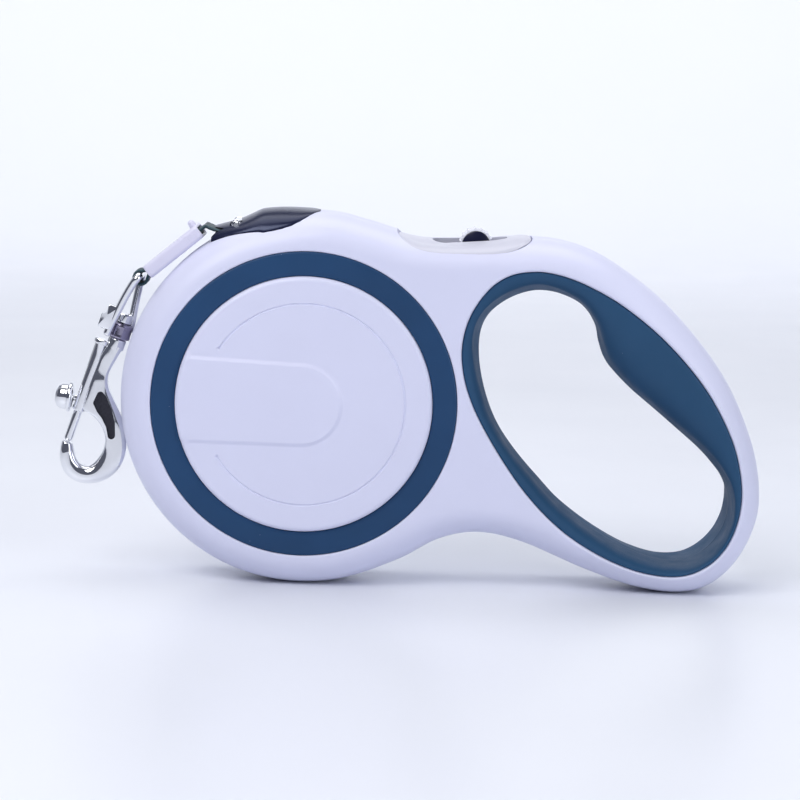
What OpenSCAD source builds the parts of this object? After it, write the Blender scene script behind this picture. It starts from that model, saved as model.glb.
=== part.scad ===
// Retractable dog leash with a flat tape: reel body, hand grip and swivel snap hook.
// The front faces -Y, the hook hangs on the -X side, and the part stands on Z = 0.

/* [Casing] */
// Outer radius of the round reel body
reel_r = 50; // [49.6:0.1:50.4]
// Half of the casing's thickness
half_depth = 15; // [15:0.1:15.5]
// Half of the flat band that runs round the casing's edge
band_half = 5; // [4:0.5:5]
// Width of the rounding from the flat band to the flat face
edge_w = 8.5; // [8:0.1:8.7]
// Outer radius of the accent ring
ring_r = 41.2; // [40:0.1:41.4]
// Radius of the round cover
cover_r = 34.5; // [33:0.1:35]
// Height of the cover above the casing's face
cover_proud = 1.0; // [0.6:0.1:1.2]
// Height of the tongue above the cover
tongue_proud = 0.6; // [0.3:0.1:0.8]

/* [Reel] */
// Outer radius of the tape when it is wound up
wound_r = 42.8; // [42:0.1:42.8]
// Outer radius of the spool hub
hub_r = 20; // [18:0.5:22]
// Width of the tape
tape_w = 12; // [10:0.5:12.4]
// Thickness of the tape
tape_t = 0.9; // [0.7:0.1:1]

/* [Brake] */
// Radius of the button's dome
dome_r = 4.4; // [4:0.1:4.5]
// Travel of the button when pressed
press_travel = 2.2; // [1.8:0.1:2.2]

/* [Tape end] */
// Length of the tape sleeve
sleeve_l = 18.2; // [16:0.2:18.4]
// Width of the tape sleeve
sleeve_w = 14; // [13:0.5:15]
// Thickness of the tape sleeve
sleeve_t = 3.9; // [3:0.1:4]

/* [Snap hook] */
// Lean of the hook from the vertical, in degrees
hook_lean = 18.5; // [18:0.5:24]
// Half of the hook's thickness
hook_half_t = 2.4; // [2:0.1:2.6]
// Radius of the spring bolt
bolt_r = 1.2; // [1:0.05:1.25]

/* [Hidden] */
$fn = 64;

shell_white = [0.86, 0.87, 0.96];
navy = [0.13, 0.25, 0.42];
smoke = [0.16, 0.17, 0.27, 0.8];
steel = [0.75, 0.76, 0.78];
chrome = [0.85, 0.86, 0.9];
tape_teal = [0.08, 0.28, 0.34];

// Where the reel's axis stands: the whole part is centred on X = 0
reel_x = -28.06;
reel_z = 50;
run_fit = 0.05;

// Depths from the parting plane
cavity_deep = 12.4;
seat_deep = 13.6;
flange_in = 6.6;
flange_out = 8.2;
axle_r = 3;
boss_r = 6;

// Casing outline, counter-clockwise from the back of the handle, about the reel's axis
back_pts = [
    [124.5, -24], [121.5, -8], [113, 10], [99, 26.8], [84.5, 38], [73, 43.6],
    [61, 45.6], [44, 45.5], [28, 46], [16, 49], [4, 51]
];
body_pts = [for (a = [103 : 14 : 285]) reel_r * [cos(a), sin(a)]];
under_pts = [
    [27, -42.8], [37.5, -37], [48, -34.9], [60, -37.2], [76, -43.7],
    [90, -48.4], [102, -50], [111, -48.2], [119, -42], [123.5, -33]
];
casing_pts = concat(back_pts, body_pts, under_pts);
fan_at = [45, 0];

// Outer and inner outline of the soft grip, point for point, counter-clockwise
grip_outer_pts = [
    [118.6, -29.5], [118.6, -18.5], [114.6, -5], [108, 7.5], [100.2, 16.8], [89.2, 26.1],
    [80, 32.4], [71, 36.2], [62.1, 37.7], [52.5, 36], [45.5, 30], [42.2, 20.5],
    [42.6, 8.2], [47.5, -5.6], [55.5, -18.6], [65, -30], [75.5, -37.8], [87.5, -42.9],
    [99, -44.6], [110, -41.6]
];
grip_inner_pts = [
    [115.4, -30.5], [114.2, -18.9], [108.2, -10.4], [99.7, -3.7], [91.3, 3], [83, 10.4],
    [79.2, 18], [75, 26.3], [66, 31], [56, 30.6], [49.2, 26.4], [46.8, 19.5],
    [47.6, 9], [52, -2.8], [60.5, -14.6], [70.4, -24.5], [80, -32], [90, -38],
    [101.5, -41.2], [110.5, -38.6]
];

// Tape route: off the coil, between the rollers, over the mouth's lip, into the sleeve
sleeve_start = [-28.9, 45.5];
sleeve_slope = 40;
lip = [-25.6, 45.2];
tape_route = [[3.7, wound_r + 0.6], [-10, 43.9], [-24, 45], lip, [-27.4, 45.5], sleeve_start];

// Screw places, from the parting plane's outline
screw_at = [[49, -29], [68, 41.3], [99.3, 21.8], [121.6, -23], [95.5, -47]];
screw_head_r = 1.8;
screw_shank_r = 1;
screw_seat = 4;
screw_tip = -8;

upper_roller_at = [-19.5, 47.1];
lower_roller_at = [-23.3, 42.9];
roller_r = 1.4;
roller_pin_r = 0.6;
mouth_half_w = 8.4;
channel_half_w = 6.6;

// Brake: a lever in the casing's neck, pressed by the button's stem
panel_x = 42;
panel_half_l = 18;
panel_half_w = 12.3;
panel_floor = 42.6;
panel_top = 45.5;
button_x = 45.1;
dome_z = 43.2;
button_half_w = 4;
stem_r = 1.5;
carriage_z = 39.8;
carriage_t = 1.2;
lever_pivot = [31.5, 39.8];
lever_pin_r = 1.2;
lever_pin_front = -7.5;
lever_pin_rear = 10.5;
pawl_y = [6.7, 8.1];
stem_end = 39.1;
tooth_count = 36;
pawl_angle = 38.2;
tooth_root_r = 43;
tooth_tip_r = 45;

// Hinge point of the hook in the tape's end loop
loop_at = [-45.7, 32.2];
loop_in_r = 1.35;
loop_out_r = 2.3;
loop_half_w = 3.3;
eye_wire_r = 1.05;
ring_drop = 16.4;
neck_r = 1.7;
swivel_ring_r = 3.05;
barrel_p = -3.6;
barrel_r = 1.9;
knob_q = -22;

// ---------- helpers ----------

// Closed Catmull-Rom curve through pts, with steps samples between two points
function spline(a, b, c, d, t) =
    0.5 * (2 * b + (c - a) * t + (2 * a - 5 * b + 4 * c - d) * t * t
        + (3 * b - a - 3 * c + d) * t * t * t);
function loop_curve(pts, steps) =
    let (n = len(pts))
    [for (i = [0 : n - 1], k = [0 : steps - 1])
        spline(pts[(i + n - 1) % n], pts[i], pts[(i + 1) % n], pts[(i + 2) % n], k / steps)];

// Unit normals of a closed counter-clockwise outline, pointing out
function unit(v) = v / norm(v);
function normals(c) =
    let (n = len(c))
    [for (i = [0 : n - 1]) let (d = unit(c[(i + 1) % n] - c[(i + n - 1) % n])) [d[1], -d[0]]];

// How far the casing's surface drops below its outline at a distance y from the parting plane
function edge_drop(y) =
    edge_w * (1 - sqrt(1 - pow(max(0, abs(y) - band_half) / (half_depth - band_half), 2)));

casing_curve = loop_curve(casing_pts, 2);
casing_normals = normals(casing_curve);
grip_outer_curve = loop_curve(grip_outer_pts, 2);
grip_inner_curve = loop_curve(grip_inner_pts, 2);

// Puts what is drawn about the reel's axis into the part's frame
module placed() {
    translate([reel_x, 0, reel_z]) children();
}

// Extrudes an X-Z outline from depth y0 to depth y1
module slab(y0, y1) {
    translate([0, y1, 0]) rotate([90, 0, 0]) linear_extrude(y1 - y0) children();
}

// Disc or bar along Y, about a point of the X-Z plane
module disc(r, y0, y1, at = [0, 0]) {
    translate([at[0], y1, at[1]]) rotate([90, 0, 0]) cylinder(r = r, h = y1 - y0);
}

// Ring along Y
module hoop(r_in, r_out, y0, y1, at = [0, 0]) {
    difference() {
        disc(r_out, y0, y1, at);
        disc(r_in, y0 - 1, y1 + 1, at);
    }
}

// Round bar between two points
module rod(a, b, r) {
    d = b - a;
    turn = atan2(d[1], d[0]);
    tilt = acos(d[2] / norm(d));
    translate(a) rotate([0, tilt, turn]) cylinder(r = r, h = norm(d));
}

// Rear parts are the front ones seen in a mirror
module at_rear() {
    mirror([0, 1, 0]) children();
}

// Slab and disc between two distances from the parting plane, on the front (-1) or rear (1)
module side_slab(side, near, far) {
    slab(min(side * near, side * far), max(side * near, side * far)) children();
}

module side_disc(side, r, near, far) {
    disc(r, min(side * near, side * far), max(side * near, side * far));
}

// Half of the casing's outer form, from the parting plane to one face.
// Both flat ends are fans about a point that sees the whole outline.
module casing_half(side) {
    n = len(casing_curve);
    round_deep = half_depth - band_half;
    levels = concat([[0, 0]], [for (a = [0 : 30 : 90])
        [edge_w * (1 - cos(a)), band_half + round_deep * sin(a)]]);
    rows = len(levels);
    outline_points = [
        for (level = levels, i = [0 : n - 1])
            let (p = casing_curve[i] - casing_normals[i] * level[0])
            [p[0], side * level[1], p[1]]
    ];
    fan_points = [[fan_at[0], 0, fan_at[1]], [fan_at[0], side * half_depth, fan_at[1]]];
    back = n * rows;
    face = back + 1;
    last = n * (rows - 1);
    flank = [
        for (r = [0 : rows - 2], i = [0 : n - 1])
            let (j = (i + 1) % n, a = r * n + i, b = r * n + j)
            each [[a, b, b + n], [a, b + n, a + n]]
    ];
    ends = [
        for (i = [0 : n - 1])
            let (j = (i + 1) % n)
            each [[back, j, i], [face, last + i, last + j]]
    ];
    faces = concat(flank, ends);
    polyhedron(
        concat(outline_points, fan_points),
        side < 0 ? faces : [for (f = faces) [f[2], f[1], f[0]]]
    );
}

// The brake panel's outline seen from above, as an upright prism
module panel_prism(grow = 0) {
    translate([panel_x, 0, panel_floor - grow])
        linear_extrude(10)
            polygon([for (a = [5 : 10 : 355])
                [(panel_half_l + grow) * cos(a), (panel_half_w + grow) * sin(a)]]);
}

module mouth_outline() {
    polygon([
        [2.5, 51.5], [-5, 51.8], [-12.8, 51.2], [-17.6, 48.9], [-21.6, 47.4], [-25.6, 46.3],
        [-26.2, 44.2], [-25.4, 41.6], [-22, 40.9], [-16, 43.2], [-11, 44.6], [-4, 47], [3, 48]
    ]);
}

// Crowned form that rounds the mouth's top across its width
module mouth_crown() {
    crown_r = reel_r + 2.6;
    crown_y = [for (y = [-9 : 3 : 9]) y];
    rotate([90, 0, 0]) rotate_extrude() polygon(concat(
        [for (y = crown_y) [crown_r - edge_drop(y), y]],
        [[0, 9], [0, -9]]
    ));
}

// Room for the lever, its pawl and the carriage inside the casing
module brake_room() {
    slab(-5.4, 5.4) polygon([
        [27, 43], [28, 37], [33, 33], [47.8, 33], [50, 36.5], [56, 38.6], [56, 43]
    ]);
    slab(4, 8.5) polygon([[29, 43], [29, 34], [34, 25], [41, 27], [42, 35], [42, 43]]);
    disc(lever_pin_r, lever_pin_front, lever_pin_rear, lever_pivot);
}

module screw_bores() {
    for (p = screw_at) {
        disc(screw_shank_r, screw_tip, 16, p);
        disc(screw_head_r + 0.1, screw_seat, 16, p);
    }
}

// The cavity leaves a boss on each side that holds one end of the reel's axle
module shell_half(side) {
    difference() {
        casing_half(side);
        side_disc(side, 46.4, -1, 9);
        side_disc(side, boss_r + 1, -1, 9.7);
        side_disc(side, axle_r, 8, cavity_deep);
        side_disc(side, ring_r, seat_deep, half_depth + 1);
        side_slab(side, -1, half_depth + 1) polygon(grip_outer_curve);
        panel_prism();
        side_slab(side, -1, mouth_half_w + 0.1) mouth_outline();
        brake_room();
        screw_bores();
        difference() {
            side_disc(side, 44.5, -1, cavity_deep);
            side_disc(side, boss_r, 8.5, cavity_deep + 1);
        }
    }
}

module accent_ring() {
    hoop(cover_r + 0.1, ring_r - 0.05, -half_depth + 0.1, -seat_deep);
}

// Round cover with its tongue and the C-shaped groove, open towards the tongue's root
module cover() {
    face = -half_depth - cover_proud;
    tongue_face = face - tongue_proud;
    difference() {
        union() {
            disc(cover_r - 0.6, face, -seat_deep);
            disc(cover_r, face + 0.6, -seat_deep);
        }
        rotate([90, 0, 0]) translate([0, 0, -face - 0.3])
            rotate([0, 0, -150]) rotate_extrude(angle = 298)
                translate([26.95, 0]) square([0.5, 1]);
    }
    intersection() {
        disc(cover_r - 0.6, tongue_face, face);
        slab(tongue_face, face) union() {
            polygon([[-40, -11.1], [-0.8, -11.5], [-0.8, 11.5], [-40, 13.2]]);
            translate([-0.8, 0]) circle(11.5);
        }
    }
}

// Crowned half of the grip: its section is swept along the two outlines
module grip_half() {
    // each row: depth, and how far from the inner outline (0) to the outer one (1)
    section = [[0, 0], [5, 0.03], [9.5, 0.14], [12.6, 0.34], [14.2, 0.62], [14.2, 1], [0, 1]];
    n = len(grip_inner_curve);
    m = len(section);
    points = [
        for (i = [0 : n - 1], s = section)
            let (p = grip_inner_curve[i] + (grip_outer_curve[i] - grip_inner_curve[i]) * s[1])
            [p[0], -s[0], p[1]]
    ];
    faces = [
        for (i = [0 : n - 1], k = [0 : m - 1])
            let (j = (i + 1) % n, l = (k + 1) % m)
            each [[i * m + k, i * m + l, j * m + l], [i * m + k, j * m + l, j * m + k]]
    ];
    polyhedron(points, faces);
}

// The hook's own frame: origin at the swivel ring, Z up its long axis, X towards the casing
module hook_frame() {
    placed() translate([loop_at[0], 0, loop_at[1]])
        rotate([0, hook_lean, 0]) translate([0, 0, -ring_drop]) children();
}

// The sleeve's own frame: origin at its upper end, X down along the tape
module sleeve_frame() {
    placed() translate([sleeve_start[0], 0, sleeve_start[1]])
        rotate([0, 180 - sleeve_slope, 0]) children();
}

// ---------- casing ----------

module front_shell() {
    color(shell_white) placed() shell_half(-1);
}

module rear_shell() {
    color(shell_white) placed() shell_half(1);
}

module front_ring() {
    color(navy) placed() accent_ring();
}

module rear_ring() {
    color(navy) placed() at_rear() accent_ring();
}

module front_cover() {
    color(shell_white) placed() cover();
}

module rear_cover() {
    color(shell_white) placed() at_rear() cover();
}

// The grip's hidden back is cut away where the reel's flanges turn
module grip_with_room() {
    difference() {
        grip_half();
        disc(tooth_tip_r + 0.4, -9, 1);
    }
}

module front_grip() {
    color(navy) placed() grip_with_room();
}

module rear_grip() {
    color(navy) placed() at_rear() grip_with_room();
}

module shell_screws() {
    color(steel) placed() for (p = screw_at) {
        disc(screw_shank_r, screw_tip, screw_seat + 0.1, p);
        disc(screw_head_r, screw_seat, screw_seat + 1.5, p);
    }
}

// ---------- tape mouth ----------

module tape_mouth() {
    color(smoke) placed() difference() {
        intersection() {
            slab(-mouth_half_w, mouth_half_w) mouth_outline();
            mouth_crown();
        }
        slab(-channel_half_w, channel_half_w)
            polygon([[-2, 42], [-30, 43.9], [-30, 46.1], [-24, 46], [-2, 44.4]]);
        for (at = [upper_roller_at, lower_roller_at]) {
            disc(roller_r + 0.4, -channel_half_w, channel_half_w, at);
            disc(roller_pin_r, -7.8, 7.8, at);
        }
    }
}

module guide_pins() {
    color(steel) placed() for (at = [upper_roller_at, lower_roller_at])
        disc(roller_pin_r, -7.8, 7.8, at);
}

module guide_roller(at) {
    color(chrome) placed() hoop(roller_pin_r + run_fit, roller_r, -6.4, 6.4, at);
}

module upper_guide_roller() {
    guide_roller(upper_roller_at);
}

module lower_guide_roller() {
    guide_roller(lower_roller_at);
}

// ---------- brake ----------

// Lies flush in the casing's top, with the same rounding across its width
module brake_panel() {
    crown = [for (y = [-13.5 : 1.5 : 13.5])
        [y, panel_top - edge_drop(y)]];
    color(shell_white) placed() difference() {
        intersection() {
            panel_prism(-0.05);
            rotate([90, 0, 90])
                linear_extrude(100) polygon(concat(crown, [[13.5, 30], [-13.5, 30]]));
        }
        translate([33.4, -4.5, 40]) cube([20.2, 9, 10]);
    }
}

module brake_carriage() {
    color(shell_white) placed() difference() {
        translate([40, -5, carriage_z]) cube([12, 10, carriage_t]);
        translate([button_x, 0, 30]) cylinder(r = stem_r + run_fit, h = 20);
    }
}

module brake_button() {
    skirt_z = carriage_z + carriage_t + press_travel + 0.3;
    color(navy) placed() {
        difference() {
            union() {
                disc(dome_r, -button_half_w, button_half_w, [button_x, dome_z]);
                for (a = [30 : 24 : 150])
                    disc(0.35, -button_half_w, button_half_w,
                        [button_x, dome_z] + (dome_r - 0.05) * [cos(a), sin(a)]);
            }
            translate([button_x - 10, -10, skirt_z - 20]) cube([20, 20, 20]);
            translate([button_x, 0, skirt_z - 1]) cylinder(r = 2.8, h = 2);
        }
        translate([button_x, 0, stem_end]) cylinder(r = stem_r, h = skirt_z + 1.5 - stem_end);
    }
}

// Rings of wire stacked along the stem
module button_spring() {
    color(steel) placed() translate([button_x, 0, 0])
        for (i = [0 : 4])
            translate([0, 0, carriage_z + carriage_t + 0.35 + 0.68 * i])
                rotate_extrude() translate([2.1, 0]) circle(r = 0.3);
}

// Bell crank: the stem presses its arm, and its pawl drops between the ratchet's teeth.
// The arm's lower step keeps it pressed while the button is slid to lock.
module brake_lever() {
    color(navy) placed() difference() {
        union() {
            disc(2.2, -2.5, pawl_y[1], lever_pivot);
            slab(-2.5, 5.2) polygon([
                [30.5, 38], [33.5, 35.6], [46.9, 36.2], [46.9, 38.7],
                [43.4, 38.7], [43, 37.7], [34.2, 37.7], [33, 40.8]
            ]);
            slab(pawl_y[0], pawl_y[1]) polygon([
                [30, 38.5], [36.8, 30.6], [36, 28.4], [37.4, 27.2],
                [39.2, 28.4], [39.6, 31], [36.6, 36.5], [33.2, 40.9]
            ]);
        }
        disc(lever_pin_r + run_fit, -10, 10, lever_pivot);
    }
}

module lever_pin() {
    color(steel) placed() disc(lever_pin_r, lever_pin_front, lever_pin_rear, lever_pivot);
}

// ---------- reel ----------

module reel_axle() {
    color(steel) placed() disc(axle_r, -cavity_deep, cavity_deep);
}

module axle_washers() {
    color(steel) placed() {
        hoop(axle_r + run_fit, boss_r, -9.6, -8.6);
        hoop(axle_r + run_fit, boss_r, 8.6, 9.6);
    }
}

module spool_hub() {
    color(shell_white) placed() {
        hoop(hub_r - 2, hub_r, -flange_in + 0.1, flange_in - 0.1);
        hoop(axle_r + run_fit, hub_r - 1, -flange_in + 0.1, -flange_in + 1.3);
    }
}

module spring_cover() {
    color(steel) placed() hoop(axle_r + run_fit, hub_r - 2.05, flange_in - 1.1, flange_in - 0.1);
}

module plain_flange() {
    color(shell_white) placed() hoop(boss_r + 2, tooth_tip_r - 0.2, -flange_out, -flange_in);
}

// Teeth point out, with a gap where the pawl comes in
module ratchet_flange() {
    pitch = 360 / tooth_count;
    root_half = 0.18 * pitch;
    tip_half = 0.16 * pitch;
    teeth = [
        for (i = [0 : tooth_count - 1])
            let (a = pawl_angle + (i + 0.5) * pitch)
            each [
                tooth_root_r * [cos(a - root_half), sin(a - root_half)],
                tooth_tip_r * [cos(a - tip_half), sin(a - tip_half)],
                tooth_tip_r * [cos(a + tip_half), sin(a + tip_half)],
                tooth_root_r * [cos(a + root_half), sin(a + root_half)]
            ]
    ];
    color(navy) placed() difference() {
        slab(flange_in, flange_out) polygon(teeth);
        disc(boss_r + 2, 0, 10);
    }
}

// Flat strip wound from the axle out to the hub
module power_spring() {
    turns = 7;
    inner = 4.4;
    outer = hub_r - 3.4;
    strip = 0.5;
    route = [for (a = [0 : 20 : 360 * turns])
        [inner + (outer - inner) * a / (360 * turns), a]];
    color(steel) placed() slab(-4.8, 4.8) polygon(concat(
        [for (s = route) s[0] * [cos(s[1]), sin(s[1])]],
        [for (i = [len(route) - 1 : -1 : 0])
            (route[i][0] + strip) * [cos(route[i][1]), sin(route[i][1])]]
    ));
}

module wound_tape() {
    color(tape_teal) placed() hoop(hub_r + 0.05, wound_r, -tape_w / 2, tape_w / 2);
}

// ---------- tape end ----------

module tape_lead() {
    half = tape_t / 2;
    last = len(tape_route) - 1;
    steps = [for (i = [0 : last])
        unit(tape_route[min(i + 1, last)] - tape_route[max(i - 1, 0)])];
    up = [for (d = steps) [-d[1], d[0]]];
    color(tape_teal) placed() slab(-tape_w / 2, tape_w / 2) polygon(concat(
        [for (i = [0 : last]) tape_route[i] + half * up[i]],
        [for (i = [last : -1 : 0]) tape_route[i] - half * up[i]]
    ));
}

module tape_sleeve() {
    slot_w = tape_w + 0.2;
    slot_t = 2 * tape_t + 0.2;
    color(shell_white) sleeve_frame() difference() {
        translate([0.6, -sleeve_w / 2, -sleeve_t / 2]) cube([sleeve_l, sleeve_w, sleeve_t]);
        translate([-1, -slot_w / 2, -slot_t / 2]) cube([sleeve_l + 4, slot_w, slot_t]);
    }
}

// Doubled tape through the sleeve, turned back on itself round the eye's bar
module tape_loop() {
    color(tape_teal) difference() {
        union() {
            sleeve_frame() translate([0.8, -tape_w / 2, -tape_t])
                cube([sleeve_l + 0.9, tape_w, 2 * tape_t]);
            placed() disc(loop_out_r, -loop_half_w, loop_half_w, loop_at);
        }
        placed() disc(loop_in_r, -5, 5, loop_at);
        placed() disc(loop_out_r + 0.05, loop_half_w, 8, loop_at);
        placed() disc(loop_out_r + 0.05, -8, -loop_half_w, loop_at);
    }
}

// ---------- snap hook ----------

// Bent wire: a bar in the tape's loop and two legs down to the swivel ring
module swivel_eye() {
    bar_half = 5.2;
    lug_r = 1.5;
    lug_at = [-4.6, 1.6];
    front_foot = [-2.9, -1.6, 0.6];
    rear_foot = [2, 2.8, 0.6];
    front_top = [0, -bar_half, ring_drop];
    rear_top = [0, bar_half, ring_drop];
    color(chrome) hook_frame() difference() {
        union() {
            rod(front_top, rear_top, eye_wire_r);
            rod(front_foot, front_top, eye_wire_r);
            rod(rear_foot, rear_top, eye_wire_r);
            translate(front_top) sphere(eye_wire_r);
            translate(rear_top) sphere(eye_wire_r);
            disc(lug_r, -0.8, 2.2, lug_at);
            translate([lug_at[0], -0.8, 0.6]) cube([2.2, 3, 2]);
        }
        translate([0, 0, -3]) cylinder(r = swivel_ring_r, h = 5.2);
    }
}

module swivel_ring() {
    color("dimgray") hook_frame() difference() {
        translate([0, 0, -1.7]) cylinder(r = swivel_ring_r, h = 3.4);
        translate([0, 0, -3]) cylinder(r = neck_r + run_fit, h = 6);
    }
}

// Hook, neck and barrel in one casting, in the hook's own frame
module hook_body() {
    outline = [
        [2.3, -4.6], [1.5, -8], [1, -12.1], [1.7, -14.8], [3.3, -17.1], [6.4, -20],
        [9.4, -23.6], [11.5, -27.5], [12.6, -31.7], [12.3, -35.4], [10.5, -39.2], [6.9, -42.1],
        [2.7, -43.3], [-1.1, -42.1], [-3.6, -39.5], [-4.8, -35.8], [-4.9, -33.5],
        [-2, -33.5], [-1.6, -34.2], [-0.4, -35.9], [2.1, -38.2], [4.6, -37.7], [6.1, -34.7],
        [6.4, -31.1], [5.2, -28], [2.9, -25.7], [0.2, -24.3], [-2.6, -24], [-2.9, -23],
        [-2.9, -5], [-2.3, -4.6]
    ];
    pocket = [
        [-0.5, -21.2], [0.4, -17], [2.6, -17.9], [5.7, -21.1], [9.1, -27.8], [7, -28.7], [3, -24.1]
    ];
    color(chrome) hook_frame() difference() {
        union() {
            slab(-hook_half_t, hook_half_t) polygon(outline);
            translate([0, 0, -5]) cylinder(r = 2.5, h = 3);
            translate([0, 0, -3]) cylinder(r = neck_r, h = 6);
            translate([0, 0, 2]) cylinder(r = 2, h = 3);
            translate([barrel_p, 0, -24.6]) cylinder(r = barrel_r, h = 21);
        }
        translate([barrel_p, 0, -30]) cylinder(r = bolt_r + run_fit, h = 25.6);
        translate([barrel_p - 4, -0.9, knob_q - 1.2]) cube([4, 1.8, 9.9]);
        slab(-3, -hook_half_t + 0.9) polygon(pocket);
        slab(hook_half_t - 0.9, 3) polygon(pocket);
    }
}

// Bolt with its thumb knob; it closes on the hook's tip
module hook_bolt() {
    color(chrome) hook_frame() {
        translate([barrel_p, 0, -33.2]) cylinder(r = bolt_r, h = 18.4);
        translate([-9.6, -0.7, knob_q - 1]) cube([9.6 + barrel_p, 1.4, 2]);
        rotate([0, -12, 0]) translate([-14, 0, knob_q + 1.9]) {
            rotate([0, 90, 0]) cylinder(r = 3.6, h = 1.4);
            translate([-1, 0, 0]) rotate([0, 90, 0]) cylinder(r = 2.6, h = 1.1);
        }
    }
}

module bolt_spring() {
    color(steel) hook_frame() translate([barrel_p, 0, 0])
        for (i = [0 : 6])
            translate([0, 0, -14.3 + 1.4 * i])
                rotate_extrude() translate([0.85, 0]) circle(r = 0.25);
}

front_shell();
rear_shell();
front_ring();
rear_ring();
front_cover();
rear_cover();
front_grip();
rear_grip();
tape_mouth();
guide_pins();
upper_guide_roller();
lower_guide_roller();
brake_panel();
brake_carriage();
brake_button();
button_spring();
brake_lever();
lever_pin();
shell_screws();
reel_axle();
axle_washers();
spool_hub();
plain_flange();
ratchet_flange();
power_spring();
spring_cover();
wound_tape();
tape_lead();
tape_sleeve();
tape_loop();
swivel_eye();
swivel_ring();
hook_body();
hook_bolt();
bolt_spring();
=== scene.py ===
"""Looks of a retractable dog leash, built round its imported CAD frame."""

import math

import bmesh
import bpy
import numpy as np
from mathutils import Matrix, Vector
from mathutils.geometry import delaunay_2d_cdt


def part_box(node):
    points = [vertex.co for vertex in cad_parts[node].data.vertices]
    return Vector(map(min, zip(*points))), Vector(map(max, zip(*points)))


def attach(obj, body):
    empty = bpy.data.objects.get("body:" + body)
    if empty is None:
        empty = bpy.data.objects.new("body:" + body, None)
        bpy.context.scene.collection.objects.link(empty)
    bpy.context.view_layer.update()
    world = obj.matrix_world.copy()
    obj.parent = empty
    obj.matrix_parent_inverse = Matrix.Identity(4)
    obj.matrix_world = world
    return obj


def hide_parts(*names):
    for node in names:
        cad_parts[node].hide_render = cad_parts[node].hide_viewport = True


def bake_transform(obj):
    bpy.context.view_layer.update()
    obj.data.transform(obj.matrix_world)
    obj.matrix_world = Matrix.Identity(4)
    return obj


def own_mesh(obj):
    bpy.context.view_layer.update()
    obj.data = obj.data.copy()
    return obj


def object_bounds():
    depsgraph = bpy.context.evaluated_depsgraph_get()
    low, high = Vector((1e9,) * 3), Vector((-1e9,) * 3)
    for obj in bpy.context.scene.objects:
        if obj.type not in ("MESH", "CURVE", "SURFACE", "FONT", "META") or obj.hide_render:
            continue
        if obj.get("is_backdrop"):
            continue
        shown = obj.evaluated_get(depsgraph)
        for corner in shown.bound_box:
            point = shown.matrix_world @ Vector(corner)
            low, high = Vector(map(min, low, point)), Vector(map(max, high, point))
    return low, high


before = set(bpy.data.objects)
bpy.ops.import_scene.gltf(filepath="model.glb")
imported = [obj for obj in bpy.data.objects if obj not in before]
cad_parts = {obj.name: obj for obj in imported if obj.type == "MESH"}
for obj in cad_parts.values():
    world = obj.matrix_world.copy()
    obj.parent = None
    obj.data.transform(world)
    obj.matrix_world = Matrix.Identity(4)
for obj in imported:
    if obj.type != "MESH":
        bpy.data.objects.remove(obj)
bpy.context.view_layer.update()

MM = 0.001
_lo, _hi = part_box("reel_axle")
REEL = (_lo + _hi) / 2
SIDES = {"front": -1, "rear": 1}
# vertices closer than this, in metres, are merged
WELD = 1e-6


# ---------- numbers of the shape, in mm about the reel's axis (x, z) ----------

# the casing: half depth, half width of its flat band, width of its rounded edge
HALF_DEPTH, BAND, EDGE_W = 15.0, 5.0, 8.5
# accent ring and round cover: outer radii, and depths of the recess and of both faces
RING_R, COVER_R = 41.2, 34.5
RING_FLOOR, RING_FACE, COVER_FACE = 13.6, 14.9, 16.0
# rounding of the casing round the hand opening and round the ring's recess
GRIP_EDGE, RING_EDGE = 0.75, 0.5
# the reel's room: radius, radius at its end, and depth
ROOM_R, ROOM_END_R, ROOM_DEPTH = 46.4, 44.5, 12.4
CASING = (
    [(124.3, -22.5), (121.5, -8), (113, 10), (99, 26.8), (84.5, 38), (73, 43.6),
     (61, 45.5), (44, 45.2), (28, 45.6), (16, 48.7), (4, 51)]
    + [(50 * math.cos(math.radians(a)), 50 * math.sin(math.radians(a))) for a in range(103, 286, 14)]
    + [(27, -42.8), (37.5, -37), (48, -34.9), (60, -37.2), (76, -43.7),
       (90, -48.4), (102, -50), (111, -47.9), (118, -41.8), (122.8, -32.6)]
)
GRIP_OUT = [
    (60.7, 37.4), (55.1, 36.5), (50.4, 33.9), (46.9, 30.1), (44.1, 25.4), (42.5, 20.6), (41.9, 15.8),
    (42.2, 11.3), (43.2, 6.6), (44.9, 1.8), (47.3, -3.2), (50.8, -9.2), (55.2, -15.9), (60.2, -22.5),
    (65.7, -28.4), (71.8, -33.6), (78.7, -37.9), (86.1, -41.4), (93.4, -43.6), (100.7, -44.3),
    (106.3, -43.2), (111.6, -39.9), (115.5, -34.9), (117.8, -28.7), (118.6, -22.0), (117.9, -15.3),
    (116.0, -8.3), (112.6, -0.9), (108.2, 6.3), (102.5, 13.4), (95.8, 20.2), (89.4, 25.5),
    (82.7, 30.1), (76.0, 33.6), (70.2, 35.9), (65.2, 37.1)]
GRIP_IN = [
    (62.6, 31.45), (57.5, 30.35), (53.1, 28.1), (49.5, 25.0), (47.5, 21.3), (46.8, 16.9), (47.1, 11.4),
    (48.3, 5.4), (50.0, -0.1), (52.4, -5.5), (55.7, -10.6), (59.6, -15.5), (64.4, -20.7),
    (70.3, -26.8), (77.0, -32.0), (84.2, -36.5), (91.0, -39.8), (97.9, -41.8), (103.3, -42.1),
    (108.2, -40.8), (112.4, -37.5), (115.5, -32.6), (116.7, -27.4), (116.2, -22.9), (114.2, -18.3),
    (110.9, -14.1), (107.1, -10.2), (101.4, -5.4), (94.6, 0.2), (88.3, 5.3), (83.4, 10.1),
    (81.0, 13.2), (79.4, 17.6), (78.2, 22.4), (74.4, 27.7), (68.4, 30.65)]
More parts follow.
